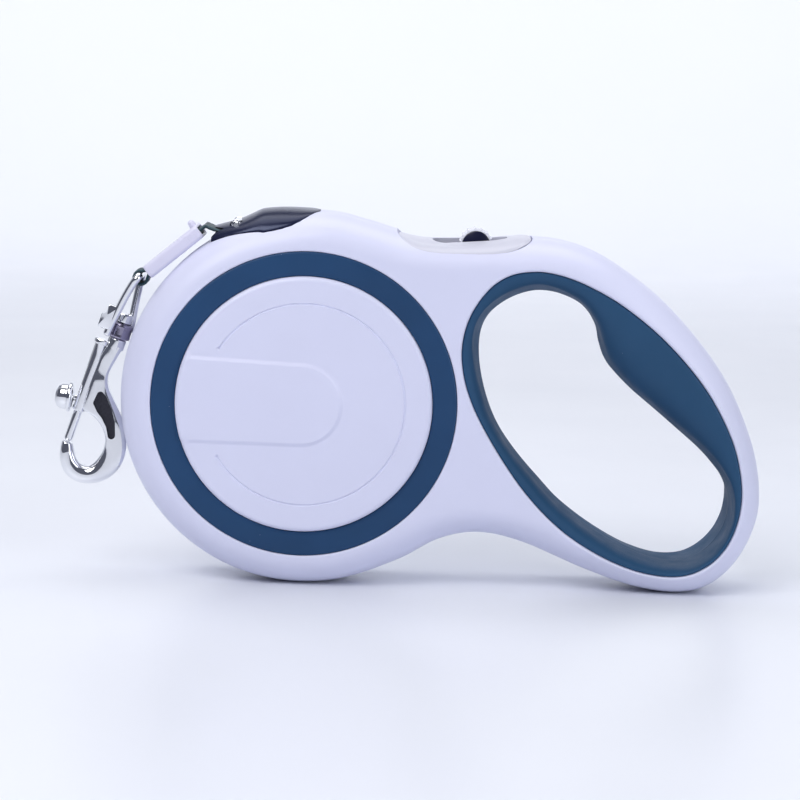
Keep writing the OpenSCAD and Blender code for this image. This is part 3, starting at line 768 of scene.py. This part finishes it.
def tape_mouth():
    """Smoky insert: a lens in plan that rises out of the casing's rounding to a crowned lid."""
    b = Build()
    rows = spline(MOUTH, 3, closed=False)
    rings = []
    for x, w, top, low in rows:
        edge = max(top_at(x) - edge_drop(w) * 1.06 + 0.04, low + 0.3)
        lid = [(x, v * w, edge + (top - edge) * (1 - abs(v) ** 2.5) ** 0.62)
               for v in np.sin(np.linspace(-math.pi / 2, math.pi / 2, 33))]
        rings.append(b.ring(lid + [(x, v * w, low) for v in (1, 0.5, 0, -0.5, -1)]))
    b.skin(rings)
    b.f.append(tuple(rings[0]))
    b.f.append(tuple(rings[-1][::-1]))
    ob = b.done("mouth_insert", mouth_mat, None, "mouth", angle=40)
    cutters = [prism(CHANNEL, -6.7, 6.7)]
    cutters += [prism(circle(1.85, 32, at), -6.6, 6.6) for at in ROLLERS.values()]
    cutters += [prism(circle(0.65, 24, at), -7.9, 7.9) for at in ROLLERS.values()]
    carve(ob, cutters, 40)
    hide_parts("tape_mouth")
    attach(ob, "casing")
    for name, at in ROLLERS.items():
        b = Build()
        half = [(1.3, 4.8), (1.4, 4.9), (1.4, 6.25), (1.25, 6.4), (0.66, 6.4)]
        rings = lathe(b, [(r, -y) for r, y in half[::-1]] + half, at, "y", 40)
        b.skin([rings[-1], rings[0]])
        b.done(name + "_roller", chrome_mat, name + "_roller", "chrome", name + "_guide_roller", 30)


# ---------- brake ----------

def panel_top(x):
    """The panel's ridge, as it runs along the casing's neck."""
    return float(np.interp(x, *zip(*RIDGE)))


def slot_outline(grow):
    """The button's slot from above, or a line at a distance round it."""
    cx, cy, r = SLOT_L - SLOT_R, SLOT_W - SLOT_R, SLOT_R + grow
    return [(SLOT_X + sx * cx + r * math.cos(a), sy * cy + r * math.sin(a))
            for sx, sy, a0 in ((1, 1, 0), (-1, 1, 90), (-1, -1, 180), (1, -1, 270))
            for a in np.radians(a0 + np.linspace(0, 90, 10))]


def slot_distance(x, y):
    dx, dy = abs(x - SLOT_X) - (SLOT_L - SLOT_R), abs(y) - (SLOT_W - SLOT_R)
    return math.hypot(max(dx, 0), max(dy, 0)) + min(max(dx, dy), 0) - SLOT_R


def brake_panel():
    """Oval insert in the casing's neck, with a lip round the button's slot."""
    b = Build()
    hl, hw = PANEL_L - 0.1, PANEL_W - 0.1

    def edge_part(x, y):
        """0 at the panel's middle, 1 at its edge."""
        return (abs((x - PANEL_X) / hl) ** PANEL_POWER + abs(y / hw) ** PANEL_POWER) ** (1 / PANEL_POWER)

    def surface(x, y):
        z = panel_top(x) - edge_drop(y)
        d = slot_distance(x, y)
        z += 0.2 * ease(1 - abs(d - 1.0) / 2.0) if d > 1.0 else 0.2 * ease(0.5 + d / 2.0)
        # the near lip of the slot dips towards the reel
        z -= 0.75 * math.exp(-((y + 6.2) / 3.2) ** 2) * ease((54 - x) / 18) * ease((x - 25) / 6)
        return z + 0.05 - 0.3 * ease((edge_part(x, y) - 0.96) / 0.04) + 0.2 * ease((abs(y) - 9) / 3)

    def under(x, y):
        return min(42.62, surface(x, y) - 0.6)

    loops = [panel_oval(hl * k, hw * k, 144) for k in (1, 0.992, 0.982, 0.972, 0.96, 0.94)]
    loops += [slot_outline(g) for g in (0, 0.15, 0.4, 0.7, 1.0, 1.4, 1.9, 2.4, 3.0)]
    free = [(x, y) for x in np.linspace(25, 59, 35) for y in np.linspace(-12, 12, 25)
            if edge_part(x, y) < 0.92 and slot_distance(x, y) > 3.2]
    edge, hole = loops[0], slot_outline(0)
    b.sheet(loops, lambda x, y: (x, y, surface(x, y)), drop=lambda m: inside(m, hole), free=free)
    for loop, flip in ((edge, False), (hole, True)):
        top = b.ring([(x, y, surface(x, y)) for x, y in loop])
        bottom = b.ring([(x, y, under(x, y)) for x, y in loop])
        b.skin([top, bottom], flip=flip)
    b.sheet([edge, hole], lambda x, y: (x, y, under(x, y)), drop=lambda m: inside(m, hole), free=free)
    b.done("brake_panel_lens", panel_mat, "casing", "casing", "brake_panel", 50)


def brake_button():
    """Dark thumb pad with a pale ribbed rim, on its stem."""
    mid_z, low = 43.2, 43.55

    def dome(r, half, rib):
        b = Build()
        rings = []
        soft = [(0.93, -half), (0.975, -half + 0.12), (1.0, -half + 0.5)]
        for k, y in soft + [(k, -y) for k, y in soft[::-1]]:
            ring = []
            for t in np.linspace(math.radians(4), math.radians(176), 97):
                rr = k * (r + rib * max(0.0, math.cos(t * 15)) ** 3)
                ring.append((BUTTON_X + rr * math.cos(t), y, max(low, mid_z + rr * math.sin(t))))
            rings.append(b.ring(ring))
        b.skin(rings)
        b.f.append(tuple(rings[0]))
        b.f.append(tuple(rings[-1][::-1]))
        return b

    b = dome(4.35, 3.35, 0.28)
    stem = [(0.001, 39.1), (1.2, 39.1), (1.48, 39.35), (1.48, 44.0), (0.001, 44.0)]
    lathe(b, stem, (BUTTON_X, 0), "z", 32)
    b.done("button_rim", rim_mat, "button", "button", "brake_button", 35)
    dome(3.85, 3.75, 0).done("button_core", button_mat, "button", "button", angle=35)


# ---------- tape end ----------

def tape_strip(b, route, width, thick):
    """A woven strip along a route in the x-z plane, with ribbed faces and rounded edges."""
    rows = np.linspace(-1, 1, 29)
    along, up = run_of(route)
    rings = []
    for p, u, s in zip(route, up, along):
        ring = []
        for way, part in ((1, rows), (-1, rows[-2:0:-1])):
            for v in part:
                rib = 0.05 * math.cos(s * WEAVE + abs(v) * 16)
                h = way * (thick / 2 + rib) * math.sqrt(max(0.0, 1 - abs(v) ** 14))
                ring.append((p[0] + u[0] * h, v * width / 2, p[1] + u[1] * h))
        rings.append(b.ring(ring))
    b.skin(rings)
    b.cap(rings[0], flip=True)
    b.cap(rings[-1])


def dense(pts, step=0.3):
    """A smooth route through the points, in even steps."""
    out = spline(pts, 12, closed=False)
    seg = np.concatenate([[0], np.cumsum(np.linalg.norm(np.diff(out, axis=0), axis=1))])
    n = max(2, int(seg[-1] / step))
    s = np.linspace(0, seg[-1], n + 1)
    return np.stack([np.interp(s, seg, out[:, 0]), np.interp(s, seg, out[:, 1])], 1)


def tape():
    c, s = math.cos(SLEEVE_SLOPE), math.sin(SLEEVE_SLOPE)
    knee = (SLEEVE_START[0] + 1.3 * c, SLEEVE_START[1] + 1.3 * s)
    into = (SLEEVE_START[0] - 1.4 * c, SLEEVE_START[1] - 1.4 * s)
    # from the coil, over the lip, to the knee
    b = Build()
    tape_strip(b, dense([(3.7, 43.4), (-4, 43.7), (-10, 43.95), (-17, 44.45), (-22.5, 44.95), (-25.6, 45.45),
                         knee]), 11.9, 0.9)
    ob = b.done("tape_at_lip", tape_mat, None, "tape", "tape_lead", 60)
    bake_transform(ob)
    # from the knee into the sleeve, the stretch that pays out when the sleeve is pulled; built here at one
    # length
    b = Build()
    tape_strip(b, dense([(knee[0] + 0.2 * c, knee[1] + 0.2 * s), SLEEVE_START, into], 0.12), 11.85, 0.88)
    ob = b.done("tape_paid_out", tape_mat, None, "tape", angle=60)
    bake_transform(ob)


def tape_loop():
    """Doubled tape out of the sleeve, closed round the eye's bar; its stitching is not drawn."""
    b = Build(sleeve)
    end = math.hypot(LOOP_AT[0] - SLEEVE_START[0], LOOP_AT[1] - SLEEVE_START[1])
    r = 1.8
    pts = [(0.9, 0.47), (10, 0.47), (17, 0.5), (18.8, 0.62), (end - 1.6, 1.1)]
    pts += [(end - r * math.cos(t), r * math.sin(t)) for t in np.radians(np.linspace(50, 310, 13))]
    pts += [(end - 1.6, -1.1), (18.8, -0.62), (17, -0.5), (10, -0.47), (0.9, -0.47)]
    route = dense(pts, 0.25)
    along, up = run_of(route)
    rings = []
    for p, u, s in zip(route, up, along):
        near = ease((p[0] - 17.2) / 2.2)
        width = 11.8 * (1 - near) + 7.8 * near
        one, two = [], []
        for v in np.linspace(-1, 1, 25):
            h = math.sqrt(max(0.0, 1 - abs(v) ** 12)) * 0.44 + 0.045 * math.cos(s * WEAVE + abs(v) * 14)
            one.append((p[0] + u[0] * h, v * width / 2, p[1] + u[1] * h))
            two.append((p[0] - u[0] * h, v * width / 2, p[1] - u[1] * h))
        rings.append(b.ring(one + two[::-1]))
    b.skin(rings)
    b.cap(rings[0], flip=True)
    b.cap(rings[-1])
    b.done("tape_end_loop", tape_mat, "tape_end", "tape", "tape_loop", 60)


def tape_sleeve():
    b = Build(sleeve)

    def section(x, w, t, r):
        return b.ring([(x, *p) for p in rounded([(-w, -t), (w, -t), (w, t), (-w, t)], r, 5, closed=True)])

    x0, x1 = 0.6, 0.6 + SLEEVE_L
    outer = [(x0, 0.35), (x0 + 0.08, 0.14), (x0 + 0.35, 0.0)]
    outer += [(x, 0.0) for x in np.linspace(x0 + 1, x1 - 1, 8)]
    outer += [(x1 - 0.35, 0.0), (x1 - 0.08, 0.14), (x1, 0.35)]
    rings = [section(x, SLEEVE_W / 2 - g, SLEEVE_T / 2 - g, 1.1) for x, g in outer]
    rings += [section(x, 6.15 + g, 1.02 + g, 0.5) for x, g in
              ((x1, 0.12), (x1 - 0.3, 0), (x0 + 0.3, 0), (x0, 0.12))]
    b.skin(rings + rings[:1])
    b.done("tape_sleeve_cover", sleeve_mat, "tape_end", "sleeve", "tape_sleeve", 45)
    # small bead on the sleeve's upper end
    b = Build(sleeve)
    prof = rounded([(0.001, 1.6), (1.1, 1.6), (1.0, 2.4), (0.85, 3.3), (0.5, 3.8), (0.001, 3.9)], 0.3, 3)
    b.skin([b.ring([(1.8 + r * math.cos(a), 1.4 * r * math.sin(a), h) for a in turn(32)]) for r, h in prof])
    b.done("sleeve_bead", sleeve_mat, "tape_end", "sleeve", angle=45)


# ---------- snap hook ----------

def swivel():
    b = Build(hook)
    path = [(-3.0, -3.4, -1.3), (-2.85, -3.5, 1.0), (-2.3, -3.75, 5.0), (-1.6, -4.4, 10.0), (-0.8, -5.0, 14.0),
            (-0.25, -5.2, 15.6), (0, -4.7, 16.3), (0, -4.0, 16.4), (0, 0, 16.4), (0, 4.0, 16.4),
            (0, 4.7, 16.3), (0.2, 5.2, 15.4), (0.7, 4.7, 11.0), (1.4, 3.8, 6.0), (2.0, 3.0, 2.6),
            (2.1, 2.9, 0.6)]
    tube(b, spline(path, 6, closed=False), 1.05, 22)
    # stepped lug cast on the front leg
    lug = rounded([(-6.1, -0.2), (-2.7, -0.2), (-2.3, 6.6), (-5.0, 6.6), (-5.0, 4.1), (-6.1, 3.7)],
                  0.4, 3, closed=True)
    mid = np.mean(lug, 0)
    rings = [b.ring([(x, y, z) for x, z in lug + (mid - lug) * g]) for y, g in
             ((-4.6, 0.12), (-4.5, 0.05), (-4.25, 0.0), (-3.0, 0.0), (-2.75, 0.05), (-2.65, 0.12))]
    b.skin(rings)
    b.cap(rings[0], flip=True)
    b.cap(rings[-1])
    b.done("swivel_bail", chrome_mat, "eye", "chrome", "swivel_eye", 42)
    b = Build(hook)
    prof = rounded([(1.75, -1.75), (3.0, -1.75), (3.12, -1.3), (3.0, -0.7), (3.0, 1.1), (3.12, 1.6),
                    (3.0, 2.2), (1.75, 2.2)], 0.25, 3)
    rings = lathe(b, prof, (0, 0), "z", 56)
    b.skin([rings[-1], rings[0]])
    b.done("swivel_collar", dark_mat, "eye", "dark_metal", "swivel_ring", 40)


HOOK_ARM = [
    ((2.3, -4.0), (-2.0, -4.2)), ((1.6, -7.6), (-2.7, -7.4)), ((1.1, -10.6), (-2.9, -10.6)),
    ((1.1, -13.0), (-3.0, -13.6)), ((2.3, -15.8), (-3.1, -17.2)), ((5.2, -19.0), (-3.1, -21.0)),
    ((8.2, -22.2), (-2.4, -23.6)), ((9.9, -24.4), (0.4, -24.3)), ((11.3, -27.2), (3.1, -25.8)),
    ((12.5, -31.2), (5.6, -28.6)), ((12.4, -35.2), (6.4, -32.2)), ((10.7, -39.0), (5.6, -35.7)),
    ((7.4, -41.9), (4.1, -38.0)), ((3.0, -43.25), (1.9, -38.2)), ((-0.9, -42.3), (0.1, -36.9)),
    ((-3.4, -39.8), (-1.0, -35.2)), ((-4.6, -36.9), (-1.6, -34.2)), ((-5.0, -34.6), (-1.9, -33.7)),
    ((-4.95, -33.9), (-2.1, -33.8))]
POCKET = [(-0.4, -20.8), (-0.1, -17.6), (0.8, -16.9), (2.6, -18.0), (5.2, -21.0), (7.1, -24.0), (8.4, -27.6),
          (7.9, -28.6), (6.7, -28.6), (5.2, -25.9), (3.3, -24.0), (1.4, -22.7)]


def hook_body():
    b = Build(hook)
    out = spline([a for a, _ in HOOK_ARM], 5, closed=False)
    inn = spline([c for _, c in HOOK_ARM], 5, closed=False)
    n = len(out)
    rings = []
    for i in range(n):
        f = i / (n - 1)
        mid, half = (out[i] + inn[i]) / 2, (out[i] - inn[i]) / 2
        w = np.linalg.norm(half)
        deep = min(2.4, 0.75 * w + 0.75)
        power = 4.2 - 2.0 * ease((f - 0.45) / 0.2)
        ring = []
        for t in turn(28):
            ct, st = math.cos(t), math.sin(t)
            u = math.copysign(abs(ct) ** (2 / power), ct)
            v = math.copysign(abs(st) ** (2 / power), st)
            ring.append((mid[0] + half[0] * u, deep * v, mid[1] + half[1] * u))
        rings.append(b.ring(ring))
    # the tip's round end
    for k in (0.3, 0.6, 0.85):
        s = math.sqrt(1 - k * k)
        rings.append(b.ring([(mid[0] + half[0] * s * math.cos(t), 1.75 * s * math.sin(t),
                              mid[1] + half[1] * s * math.cos(t) + 0.45 * k) for t in turn(28)]))
    b.skin(rings)
    b.cap(rings[0], flip=True)
    b.cap(rings[-1])
    ob = b.done("snap_hook", [chrome_mat, pocket_shade_mat], None, "chrome", angle=40)
    # the pocket cast into both faces
    shape = rounded(POCKET, 0.8, 3, closed=True)
    carve(ob, [prism(shape, -6, -1.5, to=hook), prism(shape, 1.5, 6, to=hook)], 40)
    # the pocket's floors take the near-black metal: painted shade in the recess
    across, along = hook_way((1, 0, 0)), hook_way((0, 0, 1))
    for p in ob.data.polygons:
        d = (p.center - Vector(hook((0, 0, 0)))) / MM
        q = (d.dot(across), d.dot(along))
        if abs(p.center.y) < 0.00152 and inside(q, POCKET) and abs(p.normal.y) > 0.9:
            p.material_index = 1
    # the barrel with its slot, and the neck with its collars
    c = Build(hook)
    prof = rounded([(0.001, -24.6), (1.5, -24.6), (1.85, -24.2), (1.85, -8.2), (1.85, -5.0), (2.3, -4.8),
                    (2.3, -3.9), (1.9, -3.6), (0.001, -3.6)], 0.25, 3)
    lathe(c, prof, (BARREL_P, 0), "z", 48)
    barrel = c.done("barrel", chrome_mat, None, angle=40)
    carve(barrel, [prism(circle(1.27, 32, (BARREL_P, 0)), -30, -4.6, to=hook, plane="xy"),
                   prism([(BARREL_P - 4, -0.92), (BARREL_P, -0.92), (BARREL_P, 0.92), (BARREL_P - 4, 0.92)],
                         KNOB_Q - 1.25, KNOB_Q + 10.2, to=hook, plane="xy")], 40)
    c = Build(hook)
    prof = rounded([(0.001, -5.2), (2.2, -5.2), (2.5, -4.8), (2.5, -2.4), (2.3, -2.0), (1.68, -1.95),
                    (1.68, 2.35), (2.0, 2.5), (2.1, 3.0), (2.1, 4.6), (1.7, 5.05), (0.001, 5.2)], 0.2, 3)
    lathe(c, prof, (0, 0), "z", 48)
    neck = c.done("neck", chrome_mat, None, angle=40)
    join(ob, [barrel, neck])
    shade(ob, 40)
    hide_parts("hook_body")
    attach(ob, "hook")


def join(ob, others):
    bm = bmesh.new()
    bm.from_mesh(ob.data)
    for o in others:
        bm.from_mesh(o.data)
        bpy.data.objects.remove(o, do_unlink=True)
    bm.to_mesh(ob.data)
    bm.free()


def hook_bolt():
    """Spring bolt with its thumb knob, whose axis tilts a little."""
    b = Build(hook)
    prof = rounded([(0.001, -33.25), (0.8, -33.25), (1.17, -32.8), (1.17, -14.9), (0.001, -14.85)], 0.2, 3)
    lathe(b, prof, (BARREL_P, 0), "z", 32)
    root = np.array((BARREL_P, KNOB_Q + 0.9))
    out, across = np.array((-0.978, -0.208)), np.array((-0.208, 0.978))
    knob = rounded([(0.78, 0.4), (0.78, 2.4), (2.6, 2.6), (3.9, 2.9), (4.15, 3.3), (4.05, 3.8), (3.5, 4.1),
                    (3.5, 4.9), (3.4, 5.8), (2.9, 6.7), (1.8, 7.3), (0.001, 7.45)], 0.3, 3)
    rings = []
    for r, h in knob:
        ring = []
        for a in turn(40):
            c = root + out * h + across * r * math.sin(a)
            ring.append((c[0], r * 0.92 * math.cos(a), c[1]))
        rings.append(b.ring(ring))
    b.skin(rings)
    b.cap(rings[0], flip=True)
    b.done("snap_bolt", chrome_mat, "bolt", "chrome", "hook_bolt", 38)


# ---------- springs ----------

def coil(name, to, at, r, wire, low, high, turns, body, replaced):
    """A wound compression spring, built at one length between low and high; the real one shortens towards its
    anchor as its joint moves.
    """
    b = Build(to)
    n = turns * 20
    path = []
    for i in range(n + 1):
        f = i / n
        t = 2 * math.pi * turns * f
        rise = ease(f * 0.9 + 0.05) * 0.35 + f * 0.65
        path.append((at[0] + r * math.cos(t), at[1] + r * math.sin(t),
                     low + wire + (high - low - 2 * wire) * rise))
    tube(b, path, wire, 8)
    ob = b.done(name, steel_mat, body, "steel", replaced, 60)
    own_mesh(ob)


def springs():
    coil("bolt_coil", hook, (BARREL_P, 0), 0.85, 0.25, -14.6, -5.7, 7, "hook",
         "bolt_spring")
    coil("button_coil", reel, (45.1, 0), 2.1, 0.3, 41.05, 43.9, 4, "lock_carriage",
         "button_spring")


# ---------- the inside, as the CAD has it ----------

def inner_materials():
    looks = {
        "guide_pins": steel_mat, "brake_carriage": casing_mat, "brake_lever": inner_mat,
        "lever_pin": steel_mat, "reel_axle": steel_mat, "axle_washers": steel_mat, "spool_hub": inner_mat,
        "plain_flange": inner_mat, "ratchet_flange": inner_mat, "power_spring": steel_mat,
        "spring_cover": steel_mat, "wound_tape": tape_mat}
    for name, mat in looks.items():
        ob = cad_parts[name]
        ob.data.materials.clear()
        ob.data.materials.append(mat)


# ---------- camera, floor and light ----------

def camera():
    pitch, roll = math.radians(8.0), math.radians(1.65)
    look = Vector((0, math.cos(pitch), -math.sin(pitch)))
    up = Vector((0, math.sin(pitch), math.cos(pitch)))
    right = Vector((1, 0, 0))
    x = right * math.cos(roll) + up * math.sin(roll)
    y = up * math.cos(roll) - right * math.sin(roll)
    at = Vector(reel((25.78, 0, -0.06)))
    cam = bpy.data.objects.new("camera", bpy.data.cameras.new("camera"))
    cam.data.lens = 123.5
    cam.data.sensor_width = 36
    cam.data.clip_start = 0.01
    m = Matrix((x, y, -look)).transposed().to_4x4()
    m.translation = at - look * 0.75
    cam.matrix_world = m
    bpy.context.scene.collection.objects.link(cam)
    bpy.context.scene.camera = cam


def floor():
    """Pale sweep: a floor that rises into a wall well behind the leash."""
    b = Build()
    prof = [(-2.5, 0.0), (0.9, 0.0)]
    prof += [(0.9 + 0.9 * math.sin(t), 0.9 - 0.9 * math.cos(t)) for t in np.linspace(0, math.pi / 2, 24)[1:]]
    prof += [(1.8, 3.5)]
    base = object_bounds()[0][2] / MM - REEL.z / MM
    rings = [b.ring([(x, y / MM, base + z / MM) for x in (-4000, 4000)]) for y, z in prof]
    b.skin(rings, closed=False)
    m = material("floor_paint", (0.78, 0.80, 0.86), 0.36)
    tint(m, spread(m, noise(m, 3, 3), 0, 1), (0.775, 0.80, 0.86), (0.79, 0.81, 0.87))
    link(m, spread(m, noise(m, 14, 4), 0.28, 0.4), "Roughness")
    ob = b.done("floor", m, None, angle=60)
    ob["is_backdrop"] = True


def area(name, at, to, size, power, colour=(1, 1, 1)):
    lamp = bpy.data.lights.new(name, "AREA")
    lamp.shape = "RECTANGLE"
    lamp.size, lamp.size_y = size
    lamp.energy = power
    lamp.color = colour
    ob = bpy.data.objects.new(name, lamp)
    ob.location = at
    ob.rotation_euler = (Vector(to) - Vector(at)).to_track_quat("-Z", "Y").to_euler()
    bpy.context.scene.collection.objects.link(ob)


def light():
    w = bpy.data.worlds.new("studio")
    bpy.context.scene.world = w
    w.use_nodes = True
    bg = w.node_tree.nodes["Background"]
    co = w.node_tree.nodes.new("ShaderNodeTexCoord")
    sep = w.node_tree.nodes.new("ShaderNodeSeparateXYZ")
    w.node_tree.links.new(co.outputs["Generated"], sep.inputs[0])
    ramp = w.node_tree.nodes.new("ShaderNodeValToRGB")
    w.node_tree.links.new(sep.outputs["Y"], ramp.inputs[0])
    ramp.color_ramp.elements[0].color = (0.12, 0.13, 0.17, 1)
    ramp.color_ramp.elements[1].color = (0.9, 0.93, 1.0, 1)
    ramp.color_ramp.elements[1].position = 0.55
    w.node_tree.links.new(ramp.outputs[0], bg.inputs[0])
    bg.inputs[1].default_value = 0.84
    mid = (REEL.x, 0, REEL.z)
    area("key", (-0.55, -0.75, 1.0), mid, (0.9, 0.7), 10.5, (1, 0.99, 0.98))
    area("fill", (0.9, -0.7, 0.45), mid, (0.7, 1.0), 4.8, (0.95, 0.97, 1))
    area("top", (0, 0.25, 1.3), mid, (1.6, 1.0), 9)
    area("back", (0.0, 1.3, 0.9), (0, 1.8, 0.4), (3.0, 1.4), 13.5)


# ---------- build ----------

camera()
for name, side in SIDES.items():
    casing_shell(name, side)
    accent_ring(name, side)
    cover(name, side)
    grip(name, side)
screws()
tape_mouth()
brake_panel()
brake_button()
tape()
tape_loop()
tape_sleeve()
swivel()
hook_body()
hook_bolt()
springs()
inner_materials()
floor()
light()
bpy.context.scene.view_settings.view_transform = "Standard"
